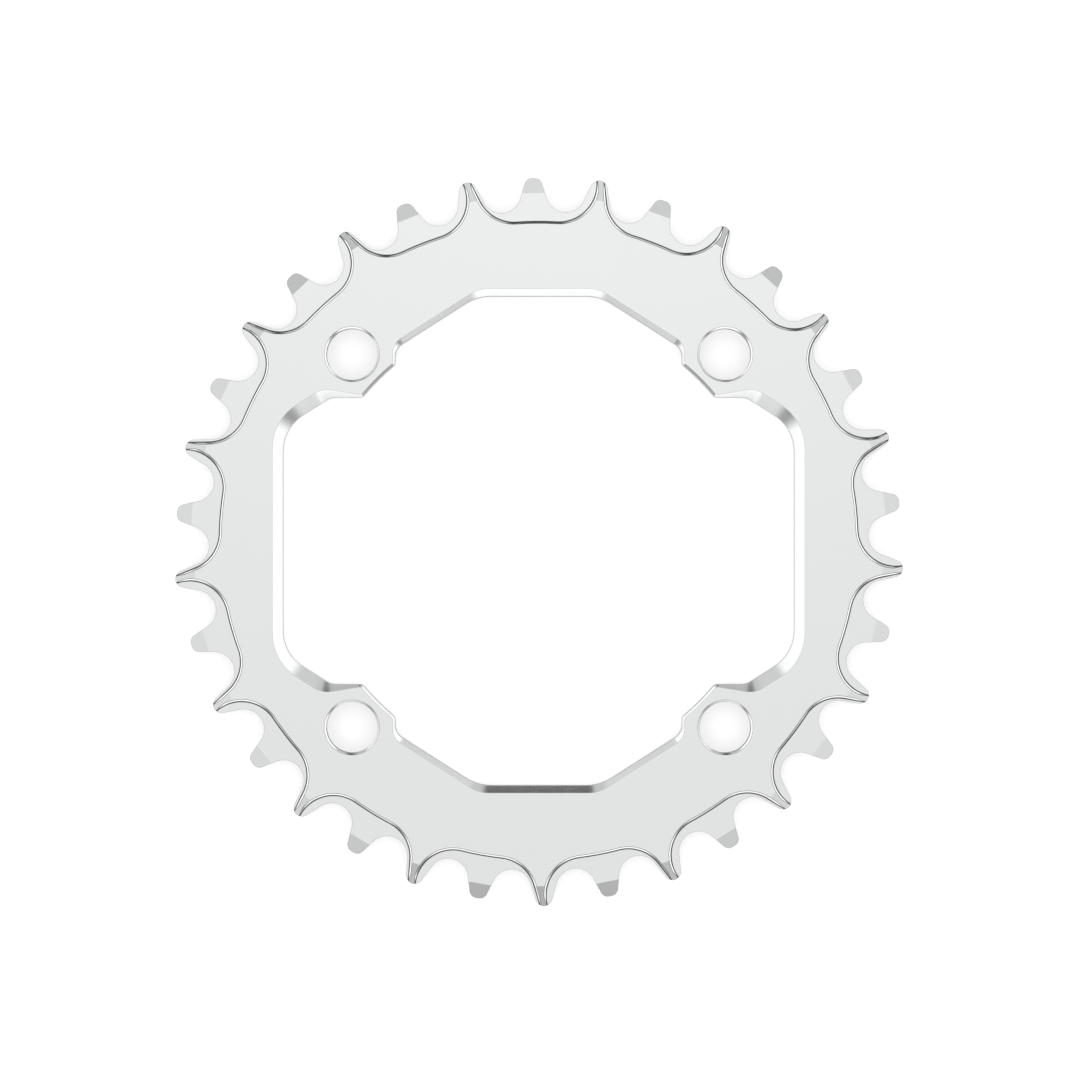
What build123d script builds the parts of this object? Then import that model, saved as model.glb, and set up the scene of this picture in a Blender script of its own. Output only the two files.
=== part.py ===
from build123d import *
import os
from math import cos, radians, sin, sqrt, tan

# Bicycle chainring, milled from one aluminium plate, with narrow and wide teeth in turn.
# Its axis is Z, its outer face looks along +Z, and Z = 0 is the centre plane of the teeth.
# Lengths are in millimetres and angles in degrees.

# Chain and teeth
TOOTH_COUNT = 34  # even, so that narrow and wide teeth alternate
CHAIN_PITCH = 12.7
ROLLER_DIAMETER = 7.65
SEAT_CLEARANCE = 0.12  # from the roller to its seat, on the radius
FLANK_ANGLE = 16.0  # from a tooth's axis to its flank
NARROW_TOOTH_HEIGHT = 6.55  # root circle to tip
WIDE_TOOTH_HEIGHT = 7.05
FIRST_TOOTH_ANGLE = 90.85  # axis of the narrow tooth nearest to +Y

# Plate, and the pockets that thin it around each narrow tooth
PLATE_THICKNESS = 3.8
NARROW_TOOTH_THICKNESS = 2.1
POCKET_LAND = 2.5  # root circle to the pocket's inner wall
POCKET_SIDE_RADIUS = 8.0
POCKET_LEFT_ANGLE = 3.1  # from the tooth's axis to where each side arc leaves the inner wall
POCKET_RIGHT_ANGLE = 4.1

# Tip facets, which slope towards the tooth's centre plane
FACET_SLOPE = 9.5
NARROW_FACET_HEIGHT = 3.55  # root circle to the start of the facet
WIDE_FACET_HEIGHT = 3.05

# Bolt tabs
BOLT_CIRCLE_DIAMETER = 104.0
BOLT_HOLE_DIAMETER = 10.1
BOLT_HOLE_CHAMFER = 0.4
TAB_REACH = 7.2  # bolt centre to the tab's inner arc
TAB_MARGIN = 8.5  # bolt centre to the tab's straight sides
TAB_LEVEL_SIDE = 6.3  # tab's inner arc to its root, along X
TAB_UPRIGHT_SIDE = 3.2  # tab's inner arc to its root, along Y
TAB_CORNER_RADIUS = 1.25
TAB_ROOT_RADIUS = 3.0

# Window inside the ring
SIDE_RELIEF = 5.65  # tabs' inner arc to the window's upright sides, on the radius
END_RELIEF = 3.45  # tabs' inner arc to the window's level ends
DIAGONAL_ANGLE = 32.5  # from the X axis to the window's slanted sides
SIDE_CORNER_RADIUS = 8.3
END_CORNER_RADIUS = 9.0

# Bevel around the window on the outer face, with its width beside each side of the window
BEVEL_ANGLE = 45.0
SIDE_BEVEL = 2.0
END_BEVEL = 1.45
UPPER_BEVEL = 1.05
LOWER_BEVEL = 2.35
TAB_BEVEL = 0.5
TAB_BEVEL_FLARE = 9.3  # the bevel widens along the tab's level side by this angle
END_BEVEL_RADIUS = 7.0

# Cutting tools run past the faces that they cut by this much
OVERRUN = 2.0
BEVEL_OVERRUN = 0.2

# Sizes that follow
tooth_angle = 360 / TOOTH_COUNT
half_tooth_angle = tooth_angle / 2
pitch_radius = CHAIN_PITCH / 2 / sin(radians(half_tooth_angle))
root_radius = pitch_radius - ROLLER_DIAMETER / 2
seat_radius = ROLLER_DIAMETER / 2 + SEAT_CLEARANCE
seat_centre_radius = root_radius + seat_radius
flank_offset = seat_centre_radius * sin(radians(half_tooth_angle + FLANK_ANGLE)) - seat_radius
narrow_tip_radius = root_radius + NARROW_TOOTH_HEIGHT
wide_tip_radius = root_radius + WIDE_TOOTH_HEIGHT
reach_radius = max(narrow_tip_radius, wide_tip_radius) + OVERRUN
bolt_circle_radius = BOLT_CIRCLE_DIAMETER / 2
bolt_offset = bolt_circle_radius / sqrt(2)
tab_radius = bolt_circle_radius - TAB_REACH
window_side = tab_radius + SIDE_RELIEF
window_end = tab_radius + END_RELIEF
tab_side = bolt_offset - TAB_MARGIN
tab_corner = sqrt(tab_radius**2 - tab_side**2)
level_root = tab_corner + TAB_LEVEL_SIDE
upright_root = tab_corner + TAB_UPRIGHT_SIDE
diagonal_sin = sin(radians(DIAGONAL_ANGLE))
diagonal_cos = cos(radians(DIAGONAL_ANGLE))
lower_diagonal = level_root * diagonal_sin + tab_side * diagonal_cos
upper_diagonal = tab_side * diagonal_sin + upright_root * diagonal_cos
half_plate = PLATE_THICKNESS / 2
half_narrow = NARROW_TOOTH_THICKNESS / 2


def polar(radius, angle):
    """Point at a radius from the ring's axis, at an angle from +X."""
    return Vector(radius * cos(radians(angle)), radius * sin(radians(angle)))


def flank_normal(axis_angle, side):
    """Outward direction of a tooth's flank, with side 1 for the left flank and -1 for the right one."""
    return polar(1, axis_angle + side * (90 - FLANK_ANGLE))


def flank_foot(axis_angle, side):
    """Point where a tooth's flank runs into its roller seat."""
    seat_centre = polar(seat_centre_radius, axis_angle + side * half_tooth_angle)
    return seat_centre - flank_normal(axis_angle, side) * seat_radius


def draw_tooth(axis_angle, tip_radius):
    """Two straight flanks with a round tip between them, and the roller seat to their left."""
    flank_slope = sin(radians(FLANK_ANGLE))
    tip_round = (flank_offset - tip_radius * flank_slope) / (1 - flank_slope)
    tip_centre = polar(tip_radius - tip_round, axis_angle)
    right_end = tip_centre + flank_normal(axis_angle, -1) * tip_round
    left_end = tip_centre + flank_normal(axis_angle, 1) * tip_round
    Line(flank_foot(axis_angle, -1), right_end)
    ThreePointArc(right_end, polar(tip_radius, axis_angle), left_end)
    Line(left_end, flank_foot(axis_angle, 1))
    ThreePointArc(
        flank_foot(axis_angle, 1),
        polar(root_radius, axis_angle + half_tooth_angle),
        flank_foot(axis_angle + tooth_angle, -1),
    )


def draw_rounded(*corners):
    """Closed outline, the same in all four quadrants, from (x, y, radius) corners of the first one.

    A corner's radius takes up no more than half of the shorter side beside it.
    """
    forward = list(corners)
    backward = forward[::-1]
    loop = (
        forward
        + [(-x, y, radius) for x, y, radius in backward]
        + [(-x, -y, radius) for x, y, radius in forward]
        + [(x, -y, radius) for x, y, radius in backward]
    )
    points = [Vector(x, y) for x, y, radius in loop]
    radii = []
    for index, (x, y, radius) in enumerate(loop):
        side_before = points[index] - points[index - 1]
        side_after = points[(index + 1) % len(points)] - points[index]
        room = min(side_before.length, side_after.length) / 2
        half_turn = radians(side_before.get_angle(side_after)) / 2
        radii.append(min(radius, room / tan(half_turn)))
    with BuildLine() as outline:
        FilletPolyline(*points, radius=radii, close=True)
    make_face(outline.edges())


def diagonal_x(y, distance):
    """X of the slanted line that lies at a distance from the ring's centre, at a height y."""
    return (distance - y * diagonal_cos) / diagonal_sin


def diagonal_y(x, distance):
    """Y of the slanted line that lies at a distance from the ring's centre, at a width x."""
    return (distance - x * diagonal_sin) / diagonal_cos


def draw_facet(start_radius, start_height):
    """Profile, in a plane through the ring's axis, of what a tip facet takes off one face of a tooth."""
    drop = (reach_radius - start_radius) * tan(radians(FACET_SLOPE))
    with BuildLine() as outline:
        Polyline(
            (start_radius, start_height),
            (reach_radius, start_height - drop),
            (reach_radius, start_height + OVERRUN),
            (start_radius, start_height + OVERRUN),
            close=True,
        )
    make_face(outline.edges())


# Tool that thins the plate on both faces around one narrow tooth, whose axis lies along +X.
# The pocket's right side ends parallel to that axis, and its left side ends parallel to the
# flank of the wide tooth beside it.
left_heading = tooth_angle + FLANK_ANGLE
with BuildPart() as pocket:
    with BuildSketch(Plane.XY.offset(half_narrow)):
        with BuildLine():
            inner = CenterArc(
                (0, 0),
                root_radius - POCKET_LAND,
                -POCKET_RIGHT_ANGLE,
                POCKET_RIGHT_ANGLE + POCKET_LEFT_ANGLE,
            )
            right = JernArc(inner @ 0, -(inner % 0), POCKET_SIDE_RADIUS, 90 + POCKET_RIGHT_ANGLE)
            left = JernArc(
                inner @ 1,
                inner % 1,
                POCKET_SIDE_RADIUS,
                left_heading - 90 - POCKET_LEFT_ANGLE,
            )
            right_run = reach_radius - (right @ 1).X
            left_run = (reach_radius - (left @ 1).X) / cos(radians(left_heading))
            right_line = PolarLine(right @ 1, right_run, 0)
            left_line = PolarLine(left @ 1, left_run, left_heading)
            Line(right_line @ 1, left_line @ 1)
        make_face()
    extrude(amount=half_plate - half_narrow + OVERRUN)
    with BuildSketch(Plane.XZ):
        draw_facet(root_radius + NARROW_FACET_HEIGHT, half_narrow)
    extrude(amount=CHAIN_PITCH / 2, both=True)
    mirror(about=Plane.XY)

# Tool that slopes both faces of one wide tooth's tip, whose axis lies along +X
with BuildPart() as wide_facet:
    with BuildSketch(Plane.XZ):
        draw_facet(root_radius + WIDE_FACET_HEIGHT, half_plate)
    extrude(amount=CHAIN_PITCH / 2, both=True)
    mirror(about=Plane.XY)

# Tool that bevels the window, drawn to narrow upwards from the back face and then turned over
front_tab_side = tab_side + TAB_BEVEL
front_tab_radius = tab_radius + TAB_BEVEL
front_side = window_side + SIDE_BEVEL
front_end = window_end + END_BEVEL
front_upper = upper_diagonal + UPPER_BEVEL
front_lower = lower_diagonal + LOWER_BEVEL
flare = tan(radians(TAB_BEVEL_FLARE))
flare_x = sqrt(front_tab_radius**2 - front_tab_side**2)
flare_inner_y = front_tab_side - flare * (flare_x - tab_side)
flare_diagonal_x = (
    diagonal_x(front_tab_side - flare * flare_x, front_lower)
    / (1 + flare * diagonal_cos / diagonal_sin)
)
flare_diagonal_y = diagonal_y(flare_diagonal_x, front_lower)
widest_bevel = max(SIDE_BEVEL, END_BEVEL, UPPER_BEVEL, LOWER_BEVEL, TAB_BEVEL)
with BuildPart() as bevel:
    with BuildSketch(Plane.XY.offset(-half_plate)) as bevel_outline:
        Circle(front_tab_radius)
        draw_rounded(
            (front_side, diagonal_y(front_side, front_lower), SIDE_CORNER_RADIUS + SIDE_BEVEL),
            (flare_diagonal_x, flare_diagonal_y, TAB_ROOT_RADIUS + SIDE_BEVEL),
            (tab_side, flare_inner_y, 0),
        )
        draw_rounded(
            (front_tab_side, diagonal_y(front_tab_side, front_upper), TAB_ROOT_RADIUS + TAB_BEVEL),
            (diagonal_x(front_end, front_upper), front_end, END_BEVEL_RADIUS),
        )
        tab_corners = bevel_outline.vertices().group_by(SortBy.DISTANCE)[0]
        fillet(tab_corners, radius=TAB_CORNER_RADIUS - TAB_BEVEL)
    extrude(amount=widest_bevel + BEVEL_OVERRUN, taper=BEVEL_ANGLE)

# The ring
with BuildPart() as chainring:
    with BuildSketch():
        with BuildLine():
            for index in range(TOOTH_COUNT):
                is_narrow = index % 2 == 0
                draw_tooth(
                    FIRST_TOOTH_ANGLE + index * tooth_angle,
                    narrow_tip_radius if is_narrow else wide_tip_radius,
                )
        make_face()
    extrude(amount=half_plate, both=True)

    with PolarLocations(0, TOOTH_COUNT // 2, start_angle=FIRST_TOOTH_ANGLE):
        add(pocket.part, mode=Mode.SUBTRACT)
    with PolarLocations(0, TOOTH_COUNT // 2, start_angle=FIRST_TOOTH_ANGLE + tooth_angle):
        add(wide_facet.part, mode=Mode.SUBTRACT)

    with BuildSketch(Plane.XY.offset(-half_plate)) as window_outline:
        Circle(tab_radius)
        draw_rounded(
            (window_side, diagonal_y(window_side, lower_diagonal), SIDE_CORNER_RADIUS),
            (level_root, tab_side, TAB_ROOT_RADIUS),
        )
        draw_rounded(
            (tab_side, upright_root, TAB_ROOT_RADIUS),
            (diagonal_x(window_end, upper_diagonal), window_end, END_CORNER_RADIUS),
        )
        tab_corners = window_outline.vertices().group_by(SortBy.DISTANCE)[0]
        fillet(tab_corners, radius=TAB_CORNER_RADIUS)
    extrude(amount=PLATE_THICKNESS, mode=Mode.SUBTRACT)
    add(bevel.part.mirror(Plane.XY), mode=Mode.SUBTRACT)

    outer_face = Plane.XY.offset(half_plate)
    back_face = Plane(origin=(0, 0, -half_plate), z_dir=(0, 0, -1))
    for face in (outer_face, back_face):
        with Locations(face):
            with GridLocations(2 * bolt_offset, 2 * bolt_offset, 2, 2):
                CounterSinkHole(
                    radius=BOLT_HOLE_DIAMETER / 2,
                    counter_sink_radius=BOLT_HOLE_DIAMETER / 2 + BOLT_HOLE_CHAMFER,
                    counter_sink_angle=2 * BEVEL_ANGLE,
                )

chainring.part.label = "chainring"

os.makedirs("parts", exist_ok=True)
export_step(chainring.part, "parts/chainring.step")
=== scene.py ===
"""A bicycle chainring that lies face up on a pale floor under soft studio light.

The chainring is one piece of aluminium. Its skin is worked out in millimetres, in the CAD frame: the
origin on the axis, +Z out of the front face. It keeps the CAD sizes and adds the small forms that the
solids leave out, which are the bevel and the round foot of each pocket's wall, the flatter tips of the
narrow teeth and the broken edges.
"""

import logging
import math
from dataclasses import dataclass, field
from enum import Enum

import bmesh
import bpy
import numpy as np
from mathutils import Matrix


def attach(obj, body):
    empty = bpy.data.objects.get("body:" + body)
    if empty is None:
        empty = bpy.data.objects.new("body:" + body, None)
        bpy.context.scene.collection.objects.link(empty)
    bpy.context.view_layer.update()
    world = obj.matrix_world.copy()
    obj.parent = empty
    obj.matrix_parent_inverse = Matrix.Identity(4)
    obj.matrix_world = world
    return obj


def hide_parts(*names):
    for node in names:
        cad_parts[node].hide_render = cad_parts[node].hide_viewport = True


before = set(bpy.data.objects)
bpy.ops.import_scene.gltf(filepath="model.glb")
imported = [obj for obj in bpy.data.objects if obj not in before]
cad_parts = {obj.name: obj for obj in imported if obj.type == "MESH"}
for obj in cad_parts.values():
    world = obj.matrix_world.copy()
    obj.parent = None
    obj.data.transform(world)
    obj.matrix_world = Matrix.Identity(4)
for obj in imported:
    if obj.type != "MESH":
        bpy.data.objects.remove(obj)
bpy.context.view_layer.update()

LOG = logging.getLogger("chainring")
MILLIMETRE = 0.001
# Face mark for painted shade: the share of a dark grey laid on pocket feet, walls and broken edges.
PAINTED_SHADE_MARK = "painted_shade"
ROUNDING = 1e-9  # a number this little over a whole one counts as whole
CLOSE = 1e-6  # lengths and shares this near to each other count as equal
PARALLEL = 1e-12  # directions with a smaller cross product count as parallel


class Side(Enum):
    """The two faces of the chainring, by the sign of their height."""

    FRONT = 1.0
    BACK = -1.0


class Tooth(Enum):
    """The two kinds of tooth, which take turns round the rim."""

    NARROW = "narrow"
    WIDE = "wide"


def linear(hex_colour: str) -> tuple[float, float, float, float]:
    """Turn an sRGB hex colour into linear light.

    Args:
        hex_colour: The colour as "#RRGGBB".

    Returns:
        Linear red, green and blue, and an alpha of 1.
    """
    levels = [int(hex_colour[i : i + 2], 16) / 255 for i in (1, 3, 5)]
    lights = [v / 12.92 if v <= 0.04045 else ((v + 0.055) / 1.055) ** 2.4 for v in levels]
    return lights[0], lights[1], lights[2], 1.0


def add_node(
    tree: bpy.types.NodeTree, kind: str, inputs: dict | None = None, **settings: object
) -> bpy.types.Node:
    """Add a node, with its settings, and with its inputs linked or set.

    Args:
        tree: The node tree that takes the node.
        kind: The node's type name.
        inputs: A socket to link, or a value to set, by the input's name or number.
        **settings: Values of the node's own properties.

    Returns:
        The new node.
    """
    node = tree.nodes.new(kind)
    for name, value in settings.items():
        setattr(node, name, value)
    for key, value in (inputs or {}).items():
        if isinstance(value, bpy.types.NodeSocket):
            tree.links.new(value, node.inputs[key])
        else:
            node.inputs[key].default_value = value
    return node


def unit(degrees: np.ndarray | float) -> np.ndarray:
    """Unit vectors (cos a, sin a) of angles in degrees, on a new last axis."""
    return np.stack([np.cos(np.radians(degrees)), np.sin(np.radians(degrees))], axis=-1)


def turned(points: np.ndarray, degrees: float) -> np.ndarray:
    """Turn points about the axis.

    Args:
        points: Points whose last axis starts with x and y.
        degrees: The turn, anticlockwise seen from the front.

    Returns:
        The turned points, with any height unchanged.
    """
    c, s = unit(degrees)
    result = np.array(points, float)
    result[..., 0] = c * points[..., 0] - s * points[..., 1]
    result[..., 1] = s * points[..., 0] + c * points[..., 1]
    return result


def raised(points: np.ndarray, height: np.ndarray | float) -> np.ndarray:
    """Give flat points (x, y) a height, as (x, y, z)."""
    return np.concatenate([points, np.broadcast_to(height, points.shape[:-1])[..., None]], axis=-1)


def cells(shape: tuple[int, int], closed: bool = False) -> np.ndarray:
    """Number the corners of each cell of a grid of points.

    The points are numbered row by row. A cell's corners are the points (i, j), (i + 1, j),
    (i + 1, j + 1) and (i, j + 1).

    Args:
        shape: How many rows and columns of points there are.
        closed: Whether the last row joins the first.

    Returns:
        Four numbers for each cell, by row and column.
    """
    index = np.arange(shape[0] * shape[1]).reshape(shape)
    if closed:
        index = np.vstack([index, index[:1]])
    return np.stack([index[:-1, :-1], index[1:, :-1], index[1:, 1:], index[:-1, 1:]], axis=-1)


def finer(points: np.ndarray, normals: np.ndarray, spacing: float) -> tuple[np.ndarray, np.ndarray]:
    """Split the long runs of an open line into equal steps.

    Each run from p to q becomes p + (q - p) i / n for whole i below n, with n the run over the spacing.

    Args:
        points: The line's points.
        normals: The normal at each point, carried along in the same way.
        spacing: The longest step wanted.

    Returns:
        The finer points and their normals.
    """
    run = np.diff(points, axis=0)
    parts = np.maximum(np.ceil(np.linalg.norm(run, axis=1) / spacing - ROUNDING), 1).astype(int)
    first = np.repeat(np.arange(len(parts)), parts)
    share = ((np.arange(len(first)) - np.repeat(np.cumsum(parts) - parts, parts)) / parts[first])[:, None]
    fine_points = np.vstack([points[first] + share * run[first], points[-1:]])
    fine_normals = np.vstack([normals[first] + share * np.diff(normals, axis=0)[first], normals[-1:]])
    return fine_points, fine_normals / np.linalg.norm(fine_normals, axis=1, keepdims=True)


def reach(points: np.ndarray, headings: np.ndarray, loop: np.ndarray) -> np.ndarray:
    """Measure from points along their headings to a closed loop.

    Point and heading p + h t meet the loop's run a + r u where t = (a - p) x r / (h x r) and
    u = (a - p) x h / (h x r), with u from 0 to 1; the smallest t above 0 is kept.

    Args:
        points: Where the rays start.
        headings: The unit direction of each ray.
        loop: The loop's points, in order.

    Returns:
        The distance t of each ray.
    """
    run = np.roll(loop, -1, axis=0) - loop
    gap = loop[None] - points[:, None]
    cross = headings[:, None, 0] * run[None, :, 1] - headings[:, None, 1] * run[None, :, 0]
    cross = np.where(np.abs(cross) < PARALLEL, np.nan, cross)
    along = (gap[..., 0] * run[None, :, 1] - gap[..., 1] * run[None, :, 0]) / cross
    share = (gap[..., 0] * headings[:, None, 1] - gap[..., 1] * headings[:, None, 0]) / cross
    hit = (share >= -CLOSE) & (share <= 1 + CLOSE) & (along > 0)
    return np.where(hit, along, np.inf).min(axis=1)


@dataclass
class SmoothPath:
    """A plane path of straight runs and arcs that join without a corner.

    Attributes:
        start: The first point.
        heading: The first heading, in degrees.
        lengths: The length of each run.
        bends: The curvature of each run, 0 where it is straight and positive where it turns left.
    """

    start: np.ndarray
    heading: float
    lengths: np.ndarray
    bends: np.ndarray

    def __post_init__(self) -> None:
        """Work out where each run starts, and its heading there."""
        self.ends = np.cumsum(self.lengths)
        turns = self.lengths * self.bends
        self.headings = math.radians(self.heading) + np.cumsum(turns) - turns
        chords = self._chords(self.headings, self.lengths, turns)
        self.starts = self.start + np.cumsum(chords, axis=0) - chords

    @staticmethod
    def _chords(heading: np.ndarray, length: np.ndarray, turn: np.ndarray) -> np.ndarray:
        """Work out the chords of arcs: length sinc(turn / 2) along the heading halfway round.

        Args:
            heading: The heading at the start of each arc, in radians.
            length: The length of each arc.
            turn: How far each arc turns left, in radians.

        Returns:
            The vector from the start of each arc to its end.
        """
        halfway = heading + turn / 2
        chord = length * np.sinc(turn / (2 * np.pi))
        return chord[..., None] * np.stack([np.cos(halfway), np.sin(halfway)], axis=-1)

    def at(self, along: np.ndarray) -> tuple[np.ndarray, np.ndarray]:
        """Find points on the path.

        Args:
            along: Lengths from the start.

        Returns:
            The points, and the unit normals on the right of the path.
        """
        run = np.clip(np.searchsorted(self.ends, along), 0, len(self.ends) - 1)
        local = along - (self.ends - self.lengths)[run]
        turn = local * self.bends[run]
        points = self.starts[run] + self._chords(self.headings[run], local, turn)
        heading = self.headings[run] + turn
        return points, np.stack([np.sin(heading), -np.cos(heading)], axis=-1)


@dataclass
class Skin:
    """The patches of one closed skin, which are welded where their borders meet.

    Attributes:
        weld: Points nearer than this, in millimetres, are one point.
        crease: Faces that meet at more than this many degrees keep a sharp edge.
        points: The patches' points so far.
        faces: Their faces, as indices into all the points.
        smooth: Whether each face is shaded as part of a curved surface.
        cut: Share of painted shade on each face.
        count: How many points there are.
    """

    weld: float = 0.0003
    crease: float = 17.0
    points: list[np.ndarray] = field(default_factory=list)
    faces: list[list[int]] = field(default_factory=list)
    smooth: list[bool] = field(default_factory=list)
    cut: list[float] = field(default_factory=list)
    count: int = 0

    def add_grid(self, grid: np.ndarray, cut: tuple[float, ...], closed: bool = False) -> None:
        """Add a smooth patch of four-sided faces.

        Args:
            grid: Points by row and column.
            cut: Share of painted shade on each strip, from one column to the next.
            closed: Whether the last row joins the first.
        """
        quads = cells(grid.shape[:2], closed)
        shares = np.broadcast_to(np.array(cut, float), quads.shape[:2])
        self._add(grid.reshape(-1, 3), quads.reshape(-1, 4), shares.ravel(), True)

    def add_flat(self, loop: np.ndarray) -> None:
        """Add one flat face inside a closed loop of points."""
        self._add(loop, np.arange(len(loop))[None], np.zeros(1), False)

    def _add(self, points: np.ndarray, faces: np.ndarray, cut: np.ndarray, smooth: bool) -> None:
        """Take in points and the faces between them.

        Args:
            points: The patch's points.
            faces: Indices into those points, a row for each face.
            cut: Share of painted shade on each face.
            smooth: Whether the faces are shaded as one curved surface.
        """
        self.points.append(points)
        self.faces.extend((faces + self.count).tolist())
        self.cut.extend(cut.tolist())
        self.smooth.extend([smooth] * len(faces))
        self.count += len(points)

    def mesh(self, name: str) -> bpy.types.Mesh:
        """Weld the patches into one mesh in metres, with its faces outwards.

        Each face is also marked with its share of painted shade, for the material.

        Args:
            name: The mesh's name.

        Returns:
            The mesh.
        """
        mesh = bpy.data.meshes.new(name)
        mesh.from_pydata((np.vstack(self.points) * MILLIMETRE).tolist(), [], self.faces)
        shell = bmesh.new()
        shell.from_mesh(mesh)
        bmesh.ops.remove_doubles(shell, verts=shell.verts, dist=self.weld * MILLIMETRE)
        bmesh.ops.recalc_face_normals(shell, faces=shell.faces)
        shell.to_mesh(mesh)
        shell.free()
        mesh.set_sharp_from_angle(angle=math.radians(self.crease))
        mesh.polygons.foreach_set("use_smooth", np.array(self.smooth))
        mark = mesh.attributes.new(PAINTED_SHADE_MARK, "FLOAT", "FACE")
        mark.data.foreach_set("value", np.array(self.cut, np.float32))
        return mesh


@dataclass
class ToothedRim:
    """The rim with its teeth, narrow and wide by turns, and the pockets cut in both faces at narrow ones.

    One sector runs from the axis of a wide tooth to the axis of the next, with a narrow tooth at its
    middle, along +X. The sector is worked out once, and turned to each of its places. Lengths are in
    millimetres and angles in degrees.

    Attributes:
        teeth: How many teeth.
        pitch: Pitch of the chain.
        roller: Diameter of the chain's rollers.
        seat_clearance: From a roller to its seat, on the radius.
        flank_angle: From a tooth's axis to its flank.
        narrow_height: From the root circle to a narrow tooth's tip.
        wide_height: From the root circle to a wide tooth's tip.
        narrow_tip_corner: Radius at the corners of a narrow tip.
        first_angle: Axis of the narrow tooth nearest to +Y.
        face: Height of the front face.
        floor: Height of a pocket's floor.
        facet_slope: Slope of the facets at the tips.
        narrow_facet_start: Where a narrow tooth's facet starts, along its axis.
        wide_facet_start: Where a wide tooth's facet starts, along its axis.
        pocket_wall: Radius of a pocket's inner wall.
        pocket_corner: Radius of the arcs on both sides of that wall.
        pocket_left: From the narrow tooth's axis to where the left arc leaves the inner wall.
        pocket_right: The same for the right arc.
        lead_in: Straight run of the wall's path before the right arc, longer than needed.
        run_out: Straight run of the path after the left arc, longer than needed.
        foot_reach: From the wall's path to the end of its foot on the pocket's floor.
        foot_radius: Radius of the round foot.
        wall_slope: Slope of the steep wall above the foot.
        bevel_width: Width of the bevel above the wall.
        bevel_slope: Slope of that bevel.
        edge_width: Width of the broken edge above the bevel.
        edge_drop: Height of that broken edge.
        least_strip: Least height that a strip of the section keeps.
        outline_break: Inset and drop of each course of the outline's broken edge.
        seam_radius: Circle where the rim's faces meet the web's.
        foot_steps: Slopes of the foot's courses, as shares of its steepest one.
        wall_painted_shade: Share of painted shade on each strip of a pocket's wall.
        outline_painted_shade: The same on each strip of the outline.
        search_in: Length of path, from its start, that holds the wall's first end.
        search_out: Length of path, before its end, that holds the wall's last end.
        tries: Points of path at which an end is looked for.
        fit_rounds: Rounds in which the wall's crest and the height there settle.
        wall_places: Points along a wall from one wide tooth's facet to the other's.
        facet_places: Points along a wall on each of those facets.
        ridge_steps: Points on a wide tip from its axis to the wall's end.
        shelf_points: Points on a wide tip from the wall's foot to the flank.
        narrow_tip_points: Points on half of a narrow tip.
        seat_points: Points on half of a roller's seat.
        seam_points: Points of a sector's seam.
    """

    teeth: int = 34
    pitch: float = 12.7
    roller: float = 7.65
    seat_clearance: float = 0.12
    flank_angle: float = 16.0
    narrow_height: float = 6.55
    wide_height: float = 7.05
    narrow_tip_corner: float = 1.5
    first_angle: float = 90.85
    face: float = 1.9
    floor: float = 1.05
    facet_slope: float = 9.5
    narrow_facet_start: float = 68.55
    wide_facet_start: float = 68.05
    pocket_wall: float = 62.5
    pocket_corner: float = 8.0
    pocket_left: float = 3.1
    pocket_right: float = 4.1
    lead_in: float = 4.0
    run_out: float = 9.0
    foot_reach: float = 0.67
    foot_radius: float = 0.29
    wall_slope: float = 80.0
    bevel_width: float = 0.25
    bevel_slope: float = 40.0
    edge_width: float = 0.1
    edge_drop: float = 0.04
    least_strip: float = 0.004
    outline_break: tuple[tuple[float, float], ...] = ((0.075, 0.0), (0.02, 0.022), (0.0, 0.055))
    seam_radius: float = 61.5
    foot_steps: tuple[float, ...] = (1, 0.82, 0.66, 0.51, 0.38, 0.27, 0.18, 0.1, 0.04, 0)
    # Painted shade on the strips of the wall and the outline: 1 is the full dark grey, 0 none.
    wall_painted_shade: tuple[float, ...] = (0.9, 0, 1, 1, 1, 1, 1, 1, 0.6, 0, 0, 0)
    outline_painted_shade: tuple[float, ...] = (0.45, 0.2, 0.45, 0.2, 0.45)
    search_in: float = 12.0
    search_out: float = 14.0
    tries: int = 4001
    fit_rounds: int = 3
    wall_places: int = 65
    facet_places: int = 14
    ridge_steps: int = 4
    shelf_points: int = 10
    narrow_tip_points: int = 15
    seat_points: int = 15
    seam_points: int = 7

    def __post_init__(self) -> None:
        """Work out the sizes that follow from the chain."""
        self.tooth_angle = 360 / self.teeth
        pitch_radius = self.pitch / (2 * math.sin(math.pi / self.teeth))
        root_radius = pitch_radius - self.roller / 2
        self.seat_radius = self.roller / 2 + self.seat_clearance
        self.seat_centre = (root_radius + self.seat_radius) * unit(self.tooth_angle / 2)
        self.flank_normal = 90 - self.flank_angle
        self.flank_offset = float(self.seat_centre @ unit(self.flank_normal)) - self.seat_radius
        self.tips = {
            Tooth.NARROW: root_radius + self.narrow_height,
            Tooth.WIDE: root_radius + self.wide_height,
        }
        self.path = self._pocket_path()

    def sector_angles(self) -> np.ndarray:
        """Angles of the narrow teeth round the axis, one for each sector."""
        return self.first_angle + 2 * self.tooth_angle * np.arange(self.teeth // 2)

    def seam(self) -> np.ndarray:
        """Points of the circle where the rim's faces meet the web's, on one sector."""
        return self.seam_radius * unit(np.linspace(-self.tooth_angle, self.tooth_angle, self.seam_points))

    def tip_corner(self, kind: Tooth) -> tuple[np.ndarray, float]:
        """Place the round at the corner of a tooth's tip.

        The round of radius r touches the tip and the flank: its centre is r below the tip, and as far
        from the axis as leaves r to the flank's line. The largest such round has its centre on the axis.

        Args:
            kind: Which tooth.

        Returns:
            The centre, in the tooth's own frame, and the radius.
        """
        sine, cosine = math.sin(math.radians(self.flank_angle)), math.cos(math.radians(self.flank_angle))
        radius = (self.flank_offset - self.tips[kind] * sine) / (1 - sine)
        if kind is Tooth.NARROW:
            radius = min(radius, self.narrow_tip_corner)
        x = self.tips[kind] - radius
        return np.array([x, max((self.flank_offset - radius - x * sine) / cosine, 0.0)]), radius

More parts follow.
